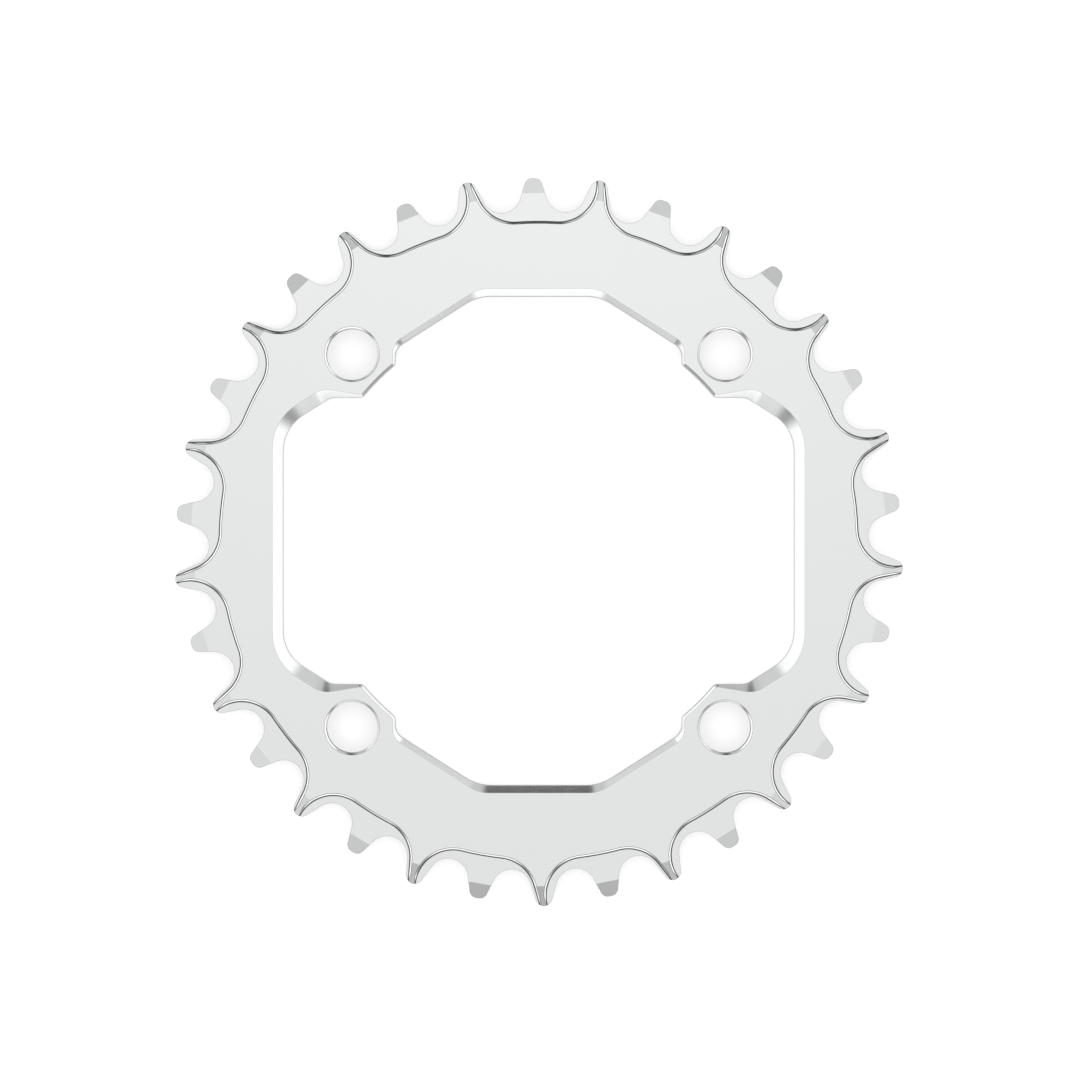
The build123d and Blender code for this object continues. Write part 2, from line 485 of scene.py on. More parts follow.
    def half_tooth(self, kind: Tooth, inset: float, tip_angles: np.ndarray) -> np.ndarray:
        """Draw half of a tooth's outline, from its axis to the bottom of the seat beside it.

        The tip's round, the straight flank and the roller's seat touch each other. An inset makes the
        round smaller and the seat larger by that much, and moves the flank in.

        Args:
            kind: Which tooth.
            inset: How far inside the true outline.
            tip_angles: Angles from the tooth's axis of the points on the tip's round.

        Returns:
            The points, in the tooth's own frame with its axis along +X, on the side of +Y.
        """
        centre, radius = self.tip_corner(kind)
        tip = centre + (radius - inset) * unit(tip_angles)
        foot = self.seat_centre - (self.seat_radius + inset) * unit(self.flank_normal)
        flank = foot[None]
        if kind is Tooth.NARROW:
            share = (self.narrow_facet_start - tip[-1, 0]) / (foot[0] - tip[-1, 0])
            flank = np.stack([tip[-1] + share * (foot - tip[-1]), foot])
            tip = np.vstack([[self.tips[kind] - inset, 0.0], tip])
        angles = np.linspace(self.flank_normal + 180, self.tooth_angle / 2 + 180, self.seat_points)[1:]
        seat = self.seat_centre + (self.seat_radius + inset) * unit(angles)
        return np.vstack([tip, flank, seat])

    def _pocket_path(self) -> SmoothPath:
        """Lay the top of a pocket's wall from one wide tooth, round the rim's side, to the next.

        It comes in along the narrow tooth's own direction, turns on an arc to the circle of the pocket's
        inner wall, and goes out on a second arc and a line parallel to the next wide tooth's flank.

        Returns:
            The path, with the pocket on its right.
        """
        outward = self.tooth_angle + self.flank_angle
        corner, inner = self.pocket_corner, self.pocket_wall
        right_centre = (inner + corner) * unit(-self.pocket_right)
        start = right_centre + np.array([self.lead_in, -corner])
        right, left = self.pocket_right, self.pocket_left
        turns = np.radians([90 + right, left + right, 90 + left - outward])
        arcs = np.array([corner, inner, corner]) * turns
        lengths = np.array([self.lead_in, *arcs, self.run_out])
        return SmoothPath(start, 180.0, lengths, np.array([0, -1 / corner, 1 / inner, -1 / corner, 0]))

    def ridge_height(self, points: np.ndarray) -> np.ndarray:
        """Work out the front face's height: flat, then down a wide tooth's facet along its axis.

        Args:
            points: Points (x, y) of the sector.

        Returns:
            The height at each point.
        """
        along = np.maximum(points @ unit(-self.tooth_angle), points @ unit(self.tooth_angle))
        drop = np.maximum(along - self.wide_facet_start, 0) * math.tan(math.radians(self.facet_slope))
        return self.face - drop

    def floor_height(self, points: np.ndarray) -> np.ndarray:
        """Height of a pocket's floor: flat, then down the narrow tooth's facet with x."""
        past = np.maximum(points[..., 0] - self.narrow_facet_start, 0)
        return self.floor - past * math.tan(math.radians(self.facet_slope))

    def wall(self, along: np.ndarray) -> np.ndarray:
        """Carry the section of a pocket's wall along its path.

        From the top the section is a broken edge, a narrow bevel, a steep wall and a round foot.
        At a slope t the round, of radius r, is r sin t from its end on the floor and r (1 - cos t) above
        it. Where a facet leaves less height, first the wall and then the bevel gives way, and last the
        round starts lower, at the slope whose height fits.

        Args:
            along: Lengths on the path, with a column for each course of the section.

        Returns:
            The surface's points, in the shape of along.
        """
        radius, steepest, least = self.foot_radius, math.radians(self.wall_slope), self.least_strip
        rise = math.tan(math.radians(self.bevel_slope))
        points, normals = self.path.at(along)
        edge = self.ridge_height(points)
        for _ in range(self.fit_rounds):
            below = edge - self.edge_drop - self.floor
            top = np.arccos(np.clip(1 - (below - 2 * least) / radius, math.cos(steepest), 1))
            left = below - radius * (1 - np.cos(top))
            bevel = np.minimum((left - least) / rise, self.bevel_width)
            lip = self.foot_reach - radius * np.sin(top) - (left - bevel * rise) / math.tan(steepest)
            crest = lip - bevel - self.edge_width
            edge = self.ridge_height(points + crest[..., None] * normals)
        slope = top[:, -len(self.foot_steps) :] * np.array(self.foot_steps)
        foot_offset, foot_height = self.foot_reach - radius * np.sin(slope), radius * (1 - np.cos(slope))
        broken = edge - self.edge_drop
        offset = np.column_stack([crest[:, 0], crest[:, 1] + self.edge_width, lip[:, 2], foot_offset])
        height = np.column_stack(
            [edge[:, 0], broken[:, 1], (broken - bevel * rise)[:, 2], self.floor + foot_height]
        )
        return raised(points + offset[..., None] * normals, height)

    def wall_grid(self) -> np.ndarray:
        """Cut the pocket's wall off at the tips of the wide teeth, and sample it between them.

        Each course of the section starts and ends where it crosses the round of a wide tip. In between,
        from where one wide tooth's facet starts to where the other's does, the courses share their places.

        Returns:
            The wall's points by place and course.
        """
        courses = len(self.wall_painted_shade) + 1
        centre, radius = self.tip_corner(Tooth.WIDE)
        radius -= self.outline_break[0][0]
        total = self.path.ends[-1]
        searches = (
            (-self.tooth_angle, self.search_in, 0.0),
            (self.tooth_angle, total - self.search_out, total),
        )
        cuts, starts = [], []
        for angle, inner, outer in searches:
            tries = np.linspace(inner, outer, self.tries)
            surface = turned(self.wall(np.repeat(tries[:, None], courses, axis=1)), -angle)
            past = np.hypot(surface[..., 0] - centre[0], surface[..., 1]) - radius
            past = np.where(surface[..., 0] > centre[0], past, -radius)
            column, row = np.arange(courses), np.argmax(past > 0, axis=0)
            share = past[row, column] / (past[row, column] - past[row - 1, column])
            cuts.append(tries[row] - share * (tries[1] - tries[0]))
            starts.append(float(np.interp(self.wide_facet_start, surface[:, 0, 0], tries)))
        share = np.linspace(0, 1, self.facet_places + 1)[:, None]
        along = [
            cuts[0] + (starts[0] - cuts[0]) * share[:-1],
            np.repeat(np.linspace(starts[0], starts[1], self.wall_places)[:, None], courses, axis=1),
            starts[1] + (cuts[1] - starts[1]) * share[1:],
        ]
        return self.wall(np.vstack(along))

    def outline(self, inset: float, right_cut: np.ndarray, left_cut: np.ndarray) -> np.ndarray:
        """Join half teeth into the outline of a sector, from one wide tooth's axis to the next.

        Args:
            inset: How far inside the true outline.
            right_cut: Angles on the round of the first wide tip where the wall's courses end.
            left_cut: The same on the other wide tip, measured the other way.

        Returns:
            The outline's points, anticlockwise.
        """
        mirror = np.array([1.0, -1.0])
        halves = []
        for cut in (right_cut, left_cut):
            ridge = np.linspace(0, cut[0], self.ridge_steps + 1)[:-1]
            shelf = np.linspace(cut[-1], self.flank_normal, self.shelf_points)[1:]
            halves.append(self.half_tooth(Tooth.WIDE, inset, np.concatenate([ridge, cut, shelf])))
        narrow_tip = np.linspace(0, self.flank_normal, self.narrow_tip_points)
        narrow = self.half_tooth(Tooth.NARROW, inset, narrow_tip)
        return np.vstack(
            [
                turned(halves[0], -self.tooth_angle),
                (narrow * mirror)[-2::-1],
                narrow[1:],
                turned((halves[1] * mirror)[-2::-1], self.tooth_angle),
            ]
        )

    def cut_angles(self, points: np.ndarray, side: int) -> np.ndarray:
        """Measure where a wall's end points lie round the centre of a wide tip.

        Args:
            points: The end points.
            side: 1 for the wide tooth on the left of the sector, -1 for the one on the right.

        Returns:
            Angles from the tooth's axis towards the middle of the sector, in degrees.
        """
        centre, _ = self.tip_corner(Tooth.WIDE)
        local = turned(points, -side * self.tooth_angle)
        return np.degrees(np.arctan2(-side * local[:, 1], local[:, 0] - centre[0]))

    def add_to(self, skin: Skin) -> None:
        """Add the whole rim to a skin: each sector's flats, its pocket walls on both faces and its edge.

        Args:
            skin: The skin that takes the patches.
        """
        wall, on_facet = self.wall_grid(), self.facet_places
        cuts = self.cut_angles(wall[0], -1), self.cut_angles(wall[-1], 1)
        first, last = self.ridge_steps, self.ridge_steps + wall.shape[1]
        front = []
        for inset, drop in self.outline_break:
            line = self.outline(inset, *cuts)
            height, ridge = self.floor_height(line), self.ridge_height(line)
            height[:first], height[-first:] = ridge[:first], ridge[-first:]
            height[first:last], height[-last:-first] = wall[0, :, 2], wall[-1, ::-1, 2]
            front.append(raised(line, height - drop))
        top = front[0]

        right_start, left_start = (
            raised(self.wide_facet_start * unit(angle), self.face)
            for angle in (-self.tooth_angle, self.tooth_angle)
        )
        one, two = np.flatnonzero(np.abs(top[:, 0] - self.narrow_facet_start) < CLOSE)
        rear = len(wall) - 1 - on_facet
        crest = wall[rear : on_facet - 1 : -1, 0]
        # The pocket's floor, the narrow tooth's facet, half a facet of each wide tooth, and the face.
        flats = [
            np.vstack([top[last - 1 : one + 1], top[two : 1 - last], wall[-2:0:-1, -1]]),
            top[one : two + 1],
            np.vstack([right_start, top[: first + 1], wall[1 : on_facet + 1, 0]]),
            np.vstack([left_start, wall[rear:-1, 0], top[-first - 1 :]]),
            np.vstack([raised(self.seam(), self.face), left_start, crest, right_start]),
        ]
        back = [line * np.array([1.0, 1.0, -1.0]) for line in front[::-1]]
        for angle in self.sector_angles():
            skin.add_grid(turned(np.stack(front + back, axis=1), angle), self.outline_painted_shade)
            for side in Side:
                lift = np.array([1.0, 1.0, side.value])
                skin.add_grid(turned(wall * lift, angle), self.wall_painted_shade)
                for flat in flats:
                    skin.add_flat(turned(flat * lift, angle))


@dataclass(frozen=True)
class WindowEdge:
    """One edge of the middle opening: straight sides and diagonals with rounds, and the tabs' round ends.

    Each line is the distance from the axis at which it stands, along its normal.

    Attributes:
        side: Distance of the upright sides.
        end: Distance of the level ends.
        lower: Distance of the diagonals between the sides and the tabs.
        upper: Distance of the diagonals between the tabs and the ends.
        diagonal: Angle of the diagonals' normals, in degrees.
        level: Distance of the tabs' lower sides.
        level_angle: Angle of the normal of the tabs' lower sides, in degrees.
        upright: Distance of the tabs' upright sides.
        tab: Radius, from the axis, of the tabs' ends.
        side_round: Radius between side and lower diagonal.
        level_round: Radius between lower diagonal and tab.
        tab_round: Radius at the tabs' corners.
        upright_round: Radius between tab and upper diagonal.
        end_round: Radius between upper diagonal and end.
        spacing: Longest step between points, in millimetres.
        turn: Longest step round an arc, in degrees.
    """

    side: float
    end: float
    lower: float
    upper: float
    diagonal: float
    level: float
    level_angle: float
    upright: float
    tab: float
    side_round: float
    level_round: float
    tab_round: float
    upright_round: float
    end_round: float
    spacing: float = 0.6
    turn: float = 4.0

    def _arc(
        self, centre: np.ndarray, radius: float, start: float, end: float
    ) -> tuple[np.ndarray, np.ndarray]:
        """Lay points centre + r (cos a, sin a) from one angle to another.

        Args:
            centre: The arc's centre.
            radius: Its radius r.
            start: Its first angle, in degrees.
            end: Its last angle, in degrees.

        Returns:
            The points, and their directions (cos a, sin a).
        """
        sweep = abs(end - start)
        steps = math.ceil(max(sweep / self.turn, math.radians(sweep) * radius / self.spacing))
        outward = unit(np.linspace(start, end, steps + 1))
        return centre + radius * outward, outward

    def _round(
        self, one: tuple[float, float], two: tuple[float, float], radius: float
    ) -> tuple[np.ndarray, np.ndarray]:
        """Round the corner between two lines, on the opening's side.

        The centre stands a radius short of both lines, which two equations in x and y give.

        Args:
            one: The first line's normal angle and distance.
            two: The second line's.
            radius: The round's radius.

        Returns:
            Points, and the directions towards the opening.
        """
        normals = np.stack([unit(one[0]), unit(two[0])])
        centre = np.linalg.solve(normals, np.array([one[1], two[1]]) - radius)
        points, outward = self._arc(centre, radius, one[0], two[0])
        return points, -outward

    def _tab_centre(self, angle: float, distance: float, hand: int) -> np.ndarray:
        """Centre of a tab's corner, which is its radius past the tab's side and past the end circle."""
        past, far = distance + self.tab_round, self.tab + self.tab_round
        return past * unit(angle) + hand * math.sqrt(far**2 - past**2) * unit(angle + 90)

    def loop(self) -> tuple[np.ndarray, np.ndarray]:
        """Draw the whole edge: one quarter, and its mirror images in both axes.

        Returns:
            The points, anticlockwise, and the unit directions towards the opening.
        """
        low_corner = self._tab_centre(self.level_angle, self.level, -1)
        high_corner = self._tab_centre(0.0, self.upright, 1)
        low, high = (math.degrees(math.atan2(c[1], c[0])) for c in (low_corner, high_corner))
        end_points, end_outward = self._arc(np.zeros(2), self.tab, low, high)
        diagonal = self.diagonal
        parts = [
            (np.array([[self.side, 0.0]]), np.array([[-1.0, 0.0]])),
            self._round((0.0, self.side), (diagonal, self.lower), self.side_round),
            self._round((diagonal, self.lower), (self.level_angle, self.level), self.level_round),
            self._arc(low_corner, self.tab_round, self.level_angle + 180, low + 180),
            (end_points[1:-1], -end_outward[1:-1]),
            self._arc(high_corner, self.tab_round, high + 180, 180.0),
            self._round((0.0, self.upright), (diagonal, self.upper), self.upright_round),
            self._round((diagonal, self.upper), (90.0, self.end), self.end_round),
            (np.array([[0.0, self.end]]), np.array([[0.0, -1.0]])),
        ]
        quarter = np.stack(finer(*(np.vstack(part) for part in zip(*parts)), self.spacing))
        turns = [quarter, quarter[:, ::-1] * [-1, 1], quarter * [-1, -1], quarter[:, ::-1] * [1, -1]]
        points, inward = np.concatenate([part[:, :-1] for part in turns], axis=1)
        return points, inward


@dataclass
class Web:
    """The flat web inside the rim: its middle opening with the bevelled edge, and the four bolt tabs.

    Lengths are in millimetres and angles in degrees.

    Attributes:
        face: Height of the front face.
        bolt_circle: Diameter of the circle through the bolt holes.
        bolt_hole: Diameter of a bolt hole.
        hole_chamfer: Width of the chamfers at both ends of a bolt hole.
        chamfer_depth: Depth of those chamfers.
        hole_step: Angle from one point to the next round a bolt hole.
        tab_reach: From a bolt's centre to its tab's inner arc.
        tab_margin: From a bolt's centre to its tab's straight sides.
        tab_level_side: From a tab's inner arc to its root, along X.
        tab_upright_side: From a tab's inner arc to its root, along Y.
        tab_corner: Radius at a tab's corners.
        tab_root: Radius at a tab's roots.
        side_relief: From the tabs' inner arc to the opening's upright sides, on the radius.
        end_relief: From the tabs' inner arc to the opening's level ends.
        diagonal_angle: From the X axis to the opening's diagonals.
        side_corner: Radius between a side and its diagonals.
        end_corner: Radius between an end and its diagonals.
        side_bevel: Width of the bevel beside the upright sides.
        end_bevel: Its width beside the level ends.
        upper_bevel: Its width beside the diagonals next to the ends.
        lower_bevel: Its width beside the diagonals next to the sides.
        tab_bevel: Its width at the tabs' ends.
        tab_bevel_flare: Angle by which it widens along a tab's level side.
        end_bevel_round: Radius of its front edge between an end and a diagonal.
        edge_break: Size of the broken edges on the bevel's front and in the bolt holes.
        lip_break: Size of the broken edge between the bevel and the upright wall.
        back_break: Size of the broken edge on the back face.
        window_painted_shade: Share of painted shade on each strip of the opening's edge.
        hole_painted_shade: The same on each strip of a bolt hole.
    """

    face: float = 1.9
    bolt_circle: float = 104.0
    bolt_hole: float = 10.1
    hole_chamfer: float = 0.4
    chamfer_depth: float = 0.386
    hole_step: float = 3.75
    tab_reach: float = 7.2
    tab_margin: float = 8.5
    tab_level_side: float = 6.3
    tab_upright_side: float = 3.2
    tab_corner: float = 1.25
    tab_root: float = 3.0
    side_relief: float = 5.65
    end_relief: float = 3.45
    diagonal_angle: float = 32.5
    side_corner: float = 8.3
    end_corner: float = 9.0
    side_bevel: float = 2.0
    end_bevel: float = 1.45
    upper_bevel: float = 1.05
    lower_bevel: float = 2.35
    tab_bevel: float = 0.5
    tab_bevel_flare: float = 9.3
    end_bevel_round: float = 7.0
    edge_break: float = 0.04
    lip_break: float = 0.06
    back_break: float = 0.1
    # Painted shade on the strips of the opening's edge and of the bolt holes.
    window_painted_shade: tuple[float, ...] = (0.25, 0, 0.1, 0.5, 0)
    hole_painted_shade: tuple[float, ...] = (0.6, 0, 0.2, 0.75, 0.2, 0, 0.6)

    def tab_angles(self) -> np.ndarray:
        """Angles of the four bolt tabs round the axis, in degrees."""
        return 45 + 90 * np.arange(4)

    def through_edge(self) -> WindowEdge:
        """Lay the opening's edge where it goes right through the web.

        Returns:
            The edge, whose sizes follow from the bolt circle and the tabs.
        """
        tab = self.bolt_circle / 2 - self.tab_reach
        margin = self.bolt_circle / 2 * math.sqrt(0.5) - self.tab_margin
        corner = math.sqrt(tab**2 - margin**2)
        normal = unit(90 - self.diagonal_angle)
        return WindowEdge(
            side=tab + self.side_relief,
            end=tab + self.end_relief,
            lower=float(normal @ (corner + self.tab_level_side, margin)),
            upper=float(normal @ (margin, corner + self.tab_upright_side)),
            diagonal=90 - self.diagonal_angle,
            level=margin,
            level_angle=90.0,
            upright=margin,
            tab=tab,
            side_round=self.side_corner,
            level_round=self.tab_root,
            tab_round=self.tab_corner,
            upright_round=self.tab_root,
            end_round=self.end_corner,
        )

    def front_edge(self) -> WindowEdge:
        """Lay the bevel's edge on the front face, which flares away from each tab along its lower side.

        Returns:
            The edge, each part of it the bevel's width there outside the edge below.
        """
        inner = self.through_edge()
        tab, margin = inner.tab + self.tab_bevel, inner.level + self.tab_bevel
        corner = np.array([math.sqrt(tab**2 - margin**2), margin])
        return WindowEdge(
            side=inner.side + self.side_bevel,
            end=inner.end + self.end_bevel,
            lower=inner.lower + self.lower_bevel,
            upper=inner.upper + self.upper_bevel,
            diagonal=inner.diagonal,
            level=float(unit(90 + self.tab_bevel_flare) @ corner),
            level_angle=90 + self.tab_bevel_flare,
            upright=margin,
            tab=tab,
            side_round=inner.side_round + self.side_bevel,
            level_round=inner.level_round + self.side_bevel,
            tab_round=inner.tab_round - self.tab_bevel,
            upright_round=inner.upright_round + self.tab_bevel,
            end_round=self.end_bevel_round,
        )

    def window(self) -> np.ndarray:
        """Carry the section of the opening's edge round it.

        From each point of the front edge the bevel goes down at 45 degrees, straight towards the
        opening, as far as the upright wall below it. Both its edges and the wall's rear edge are broken.

        Returns:
            Points by place round the opening and by course, from the front face to the back.
        """
        points, inward = self.front_edge().loop()
        fall = reach(points, inward, self.through_edge().loop()[0])
        zero, thick = np.zeros_like(fall), np.full_like(fall, 2 * self.face)
        edge, lip, rear = self.edge_break, self.lip_break, self.back_break
        out = np.stack([zero - edge, zero + edge, fall - lip, fall, fall, fall - rear], axis=1)
        down = np.stack([zero, zero + edge, fall - lip, fall + lip, thick - rear, thick], axis=1)
        return raised(points[:, None] + out[..., None] * inward[:, None], self.face - down)

    def holes(self) -> np.ndarray:
        """Turn the section of a bolt hole round each of its four centres.

        Returns:
            Points by hole, angle and course, from the front face to the back.
        """
        radius, chamfer = self.bolt_hole / 2, self.hole_chamfer
        depth, small = self.chamfer_depth, self.edge_break
        radii = radius + np.array([chamfer + small, chamfer - small, small, 0.0])
        heights = self.face - np.array([0.0, small, depth - small, depth + small])
        radii, heights = np.append(radii, radii[::-1]), np.append(heights, -heights[::-1])
        centres = self.bolt_circle / 2 * unit(self.tab_angles())
        round_points = unit(np.arange(0, 360, self.hole_step))[:, None] * radii[:, None]
        return raised(centres[:, None, None] + round_points, heights)

    def add_to(self, skin: Skin, seam: np.ndarray) -> None:
        """Add the web to a skin.

        Each face is four flat pieces, which meet on lines through the bolt holes. A piece goes along the
        seam with the rim, round half a hole, along the opening's edge and round half of the next hole.

        Args:
            skin: The skin that takes the patches.
            seam: The circle where the rim's faces end, anticlockwise from about +X.
        """
        window, holes = self.window(), self.holes()
        skin.add_grid(window, self.window_painted_shade, closed=True)
        quarter = holes.shape[1] // 4
        for hole in holes:
            skin.add_grid(hole, self.hole_painted_shade, closed=True)
        for side, course in ((Side.FRONT, 0), (Side.BACK, -1)):
            edge, rim = window[:, course], raised(seam, side.value * self.face)
            places = [self._facing(line, self.tab_angles()) for line in (rim, edge)]
            for i in range(len(holes)):
                j = (i + 1) % len(holes)
                half = quarter // 2 + quarter * i - np.arange(2 * quarter + 1)
                skin.add_flat(
                    np.vstack(
                        [
                            self._stretch(rim, places[0][i], places[0][j]),
                            holes[j][(half + quarter) % (4 * quarter), course],
                            self._stretch(edge, places[1][i], places[1][j])[::-1],
                            holes[i][(half + 2 * quarter) % (4 * quarter), course],
                        ]
                    )
                )

    @staticmethod
    def _facing(loop: np.ndarray, angles: np.ndarray) -> np.ndarray:
        """Numbers of the loop's points that lie nearest to directions from the axis."""
        directions = loop[:, :2] / np.linalg.norm(loop[:, :2], axis=1, keepdims=True)
        return np.argmax(directions @ unit(angles).T, axis=0)

    @staticmethod
    def _stretch(loop: np.ndarray, start: int, end: int) -> np.ndarray:
        """Points of a closed loop from one number to another, past its end if need be."""
        return loop[np.arange(start, end + 1 if end > start else end + 1 + len(loop)) % len(loop)]


@dataclass(frozen=True)
class AnodisedAluminium:
    """Forged and milled aluminium, blasted with fine glass beads and anodised in clear silver.

    Blasting leaves an even satin skin that blurs reflections a little and shows no tool marks. To the
    eye it is a cool pale grey. Shade is painted on the faces marked for it: the foot of a pocket, the
    narrow broken edges and, in part, the upright walls take a darker and duller grey, streaked in lines
    along the wall, which draws every edge with a thin grey line. Lengths are in millimetres.

    Attributes:
        colour: The metal's own reflection, a silver with a trace of blue.
        darker: The same where the blast was thin.
        roughness: The satin's roughness, and how far it wanders over the surface.
        bead: Spacing of the bead marks. Real ones are near 0.05 mm, too fine to show here, so they are
            drawn coarser.
        cloud: Size of the slow changes from the blasting nozzle's passes.
        cloud_share: Share of those changes, beside the bead marks, in colour and roughness.
        noise_span: Values of the two together that give the least and the most roughness.
        mark_depth: Depth of the bead marks in the bump.
        bump: Strength of the bump.
        shade_colour: Colour of the painted shade, on the crests of its streaks.
        shade_darker: The same in their troughs.
        shade_roughness: Roughness where the shade is painted.
        line: Height of a streak in the painted shade, drawn coarser than a real cutter line near 0.05 mm.
        line_length: How many times longer than high a streak is.
    """

    colour: str = "#EEEFEF"
    darker: str = "#EBECEC"
    roughness: tuple[float, float] = (0.15, 0.19)
    bead: float = 0.35
    cloud: float = 14.0
    cloud_share: float = 0.4
    noise_span: tuple[float, float] = (0.3, 0.7)
    mark_depth: float = 0.0004
    bump: float = 0.3
    # Painted shade: dark greys and a duller roughness laid on the faces marked for it.
    shade_colour: str = "#545659"
    shade_darker: str = "#424447"
    shade_roughness: float = 0.34
    line: float = 0.25
    line_length: float = 30.0

    def material(self) -> bpy.types.Material:
        """Make the material.

        Returns:
            A material on Object coordinates, in which one metre is one unit.
        """
        material = bpy.data.materials.new("anodised_aluminium_satin_silver")
        material.use_nodes = True
        tree = material.node_tree
        shader = tree.nodes["Principled BSDF"]
        place = add_node(tree, "ShaderNodeTexCoord").outputs["Object"]
        beads = add_node(
            tree,
            "ShaderNodeTexNoise",
            {"Vector": place, "Scale": 1 / (self.bead * MILLIMETRE), "Detail": 2.0, "Roughness": 0.6},
        )
        clouds = add_node(
            tree,
            "ShaderNodeTexNoise",
            {"Vector": place, "Scale": 1 / (self.cloud * MILLIMETRE), "Detail": 3.0, "Roughness": 0.5},
        )
        both = add_node(
            tree,
            "ShaderNodeMix",
            {"Factor": self.cloud_share, "A": beads.outputs["Fac"], "B": clouds.outputs["Fac"]},
        )
        (low, high), (least, most) = self.noise_span, self.roughness
        rough = add_node(
            tree,
            "ShaderNodeMapRange",
            {"Value": both.outputs["Result"], 1: low, 2: high, 3: least, 4: most},
        )
        tint = add_node(
            tree,
            "ShaderNodeMix",
            {"Factor": both.outputs["Result"], "A": linear(self.darker), "B": linear(self.colour)},
            data_type="RGBA",
        )
        bump = add_node(
            tree,
            "ShaderNodeBump",
            {
                "Strength": self.bump,
                "Distance": self.mark_depth * MILLIMETRE,
                "Height": beads.outputs["Fac"],
            },
        )
        # Painted shade: a dark streaked grey, mixed in by each face's mark, darkens pocket feet, walls and
        # edges.
        level = 1 / self.line_length
        drawn_out = add_node(tree, "ShaderNodeMapping", {"Vector": place, "Scale": (level, level, 1.0)})
        lines = add_node(
            tree,
            "ShaderNodeTexNoise",
            {"Vector": drawn_out.outputs["Vector"], "Scale": 1 / (self.line * MILLIMETRE), "Detail": 2.0},
        )
        shade_tint = add_node(
            tree,
            "ShaderNodeMix",
            {"Factor": lines.outputs["Fac"], "A": linear(self.shade_darker), "B": linear(self.shade_colour)},
            data_type="RGBA",
        )
        cut = add_node(tree, "ShaderNodeAttribute", attribute_name=PAINTED_SHADE_MARK).outputs["Fac"]
        all_tint = add_node(
            tree,
            "ShaderNodeMix",
            {"Factor": cut, "A": tint.outputs["Result"], "B": shade_tint.outputs["Result"]},
            data_type="RGBA",
        )
        all_rough = add_node(
            tree, "ShaderNodeMix", {"Factor": cut, "A": rough.outputs["Result"], "B": self.shade_roughness}
        )
        shader.inputs["Metallic"].default_value = 1.0
        tree.links.new(all_tint.outputs["Result"], shader.inputs["Base Color"])
        tree.links.new(all_rough.outputs["Result"], shader.inputs["Roughness"])
        tree.links.new(bump.outputs["Normal"], shader.inputs["Normal"])
        return material


@dataclass
class Chainring:
    """The whole chainring, one piece of metal.

    Attributes:
        name: Name of the piece.
        rim: Its toothed rim.
        web: The web inside the rim.
        finish: Its finish.
    """

    name: str = "chainring_body"
    rim: ToothedRim = field(default_factory=ToothedRim)
    web: Web = field(default_factory=Web)
    finish: AnodisedAluminium = field(default_factory=AnodisedAluminium)

    def build(self) -> bpy.types.Object:
        """Build the piece, dress it, and put it in the CAD node's place.

        Returns:
            The piece's object.
        """
        skin = Skin()
        self.rim.add_to(skin)
        seam = np.vstack([turned(self.rim.seam()[:-1], angle) for angle in self.rim.sector_angles()])
        self.web.add_to(skin, seam)
        piece = bpy.data.objects.new(self.name, skin.mesh(self.name))
        bpy.context.scene.collection.objects.link(piece)
        piece.data.materials.append(self.finish.material())
        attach(piece, "root")
        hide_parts("chainring")
        return piece


@dataclass(frozen=True)
class SoftPanel:
    """A soft-edged light panel or grey card, far away, with a twin on the other side of the set.

    Attributes:
        name: What it is in the set.
        azimuth: Direction of its middle, in degrees from the back of the set (+Y).
        half_width: Half of its width, in degrees.
        side_blur: Width of its soft side edges, in degrees.
        top: Its upper edge, in degrees from straight up.
        bottom: Its lower edge, in degrees from straight up.
        blur: Width of its soft upper and lower edges, in degrees.
        strength: What it adds to the dome, where 1 is white. A card takes light away.
    """

    name: str
    azimuth: float
    half_width: float
    side_blur: float
    top: float
    bottom: float
    blur: float
    strength: float


@dataclass(frozen=True)
class MattWhitePaint:
    """White paint, rolled on a board and dried matt.

    It has no gloss, so to the eye it is an even pale field that takes the chainring's soft shadow. A
    glow lifts it to white without more light on the chainring. The camera sees the glow in full, as it
    would through glass, and reflections in metal show a part of it.

    Attributes:
        colour: The paint's own colour.
        roughness: Roughness of the dry paint.
        glow: Strength of the glow to the camera.
        glow_in_metal: The share of it that reflections show.
    """

    colour: str = "#E6E6E5"
    roughness: float = 0.5
    glow: float = 0.54
    glow_in_metal: float = 0.24

    def material(self) -> bpy.types.Material:
        """Make the material, which adds the glow to the paint by the kind of ray.

        Returns:
            The material.
        """
        material = bpy.data.materials.new("matt_white_paint")
        material.use_nodes = True
        tree = material.node_tree
        tree.nodes.clear()
        rays = add_node(tree, "ShaderNodeLightPath").outputs
        direct = add_node(
            tree,
            "ShaderNodeMath",
            {0: rays["Is Camera Ray"], 1: rays["Is Transmission Ray"]},
            operation="MAXIMUM",
        )
        seen = add_node(
            tree,
            "ShaderNodeMath",
            {0: rays["Is Glossy Ray"], 1: self.glow_in_metal, 2: direct.outputs[0]},
            operation="MULTIPLY_ADD",
        )
        strength = add_node(
            tree, "ShaderNodeMath", {0: seen.outputs[0], 1: self.glow}, operation="MULTIPLY"
        )
        glow = add_node(tree, "ShaderNodeEmission", {"Strength": strength.outputs[0]})
        paint = add_node(
            tree, "ShaderNodeBsdfDiffuse", {"Color": linear(self.colour), "Roughness": self.roughness}
        )
        whole = add_node(tree, "ShaderNodeAddShader", {0: glow.outputs[0], 1: paint.outputs[0]})
        add_node(tree, "ShaderNodeOutputMaterial", {"Surface": whole.outputs[0]})
        return material


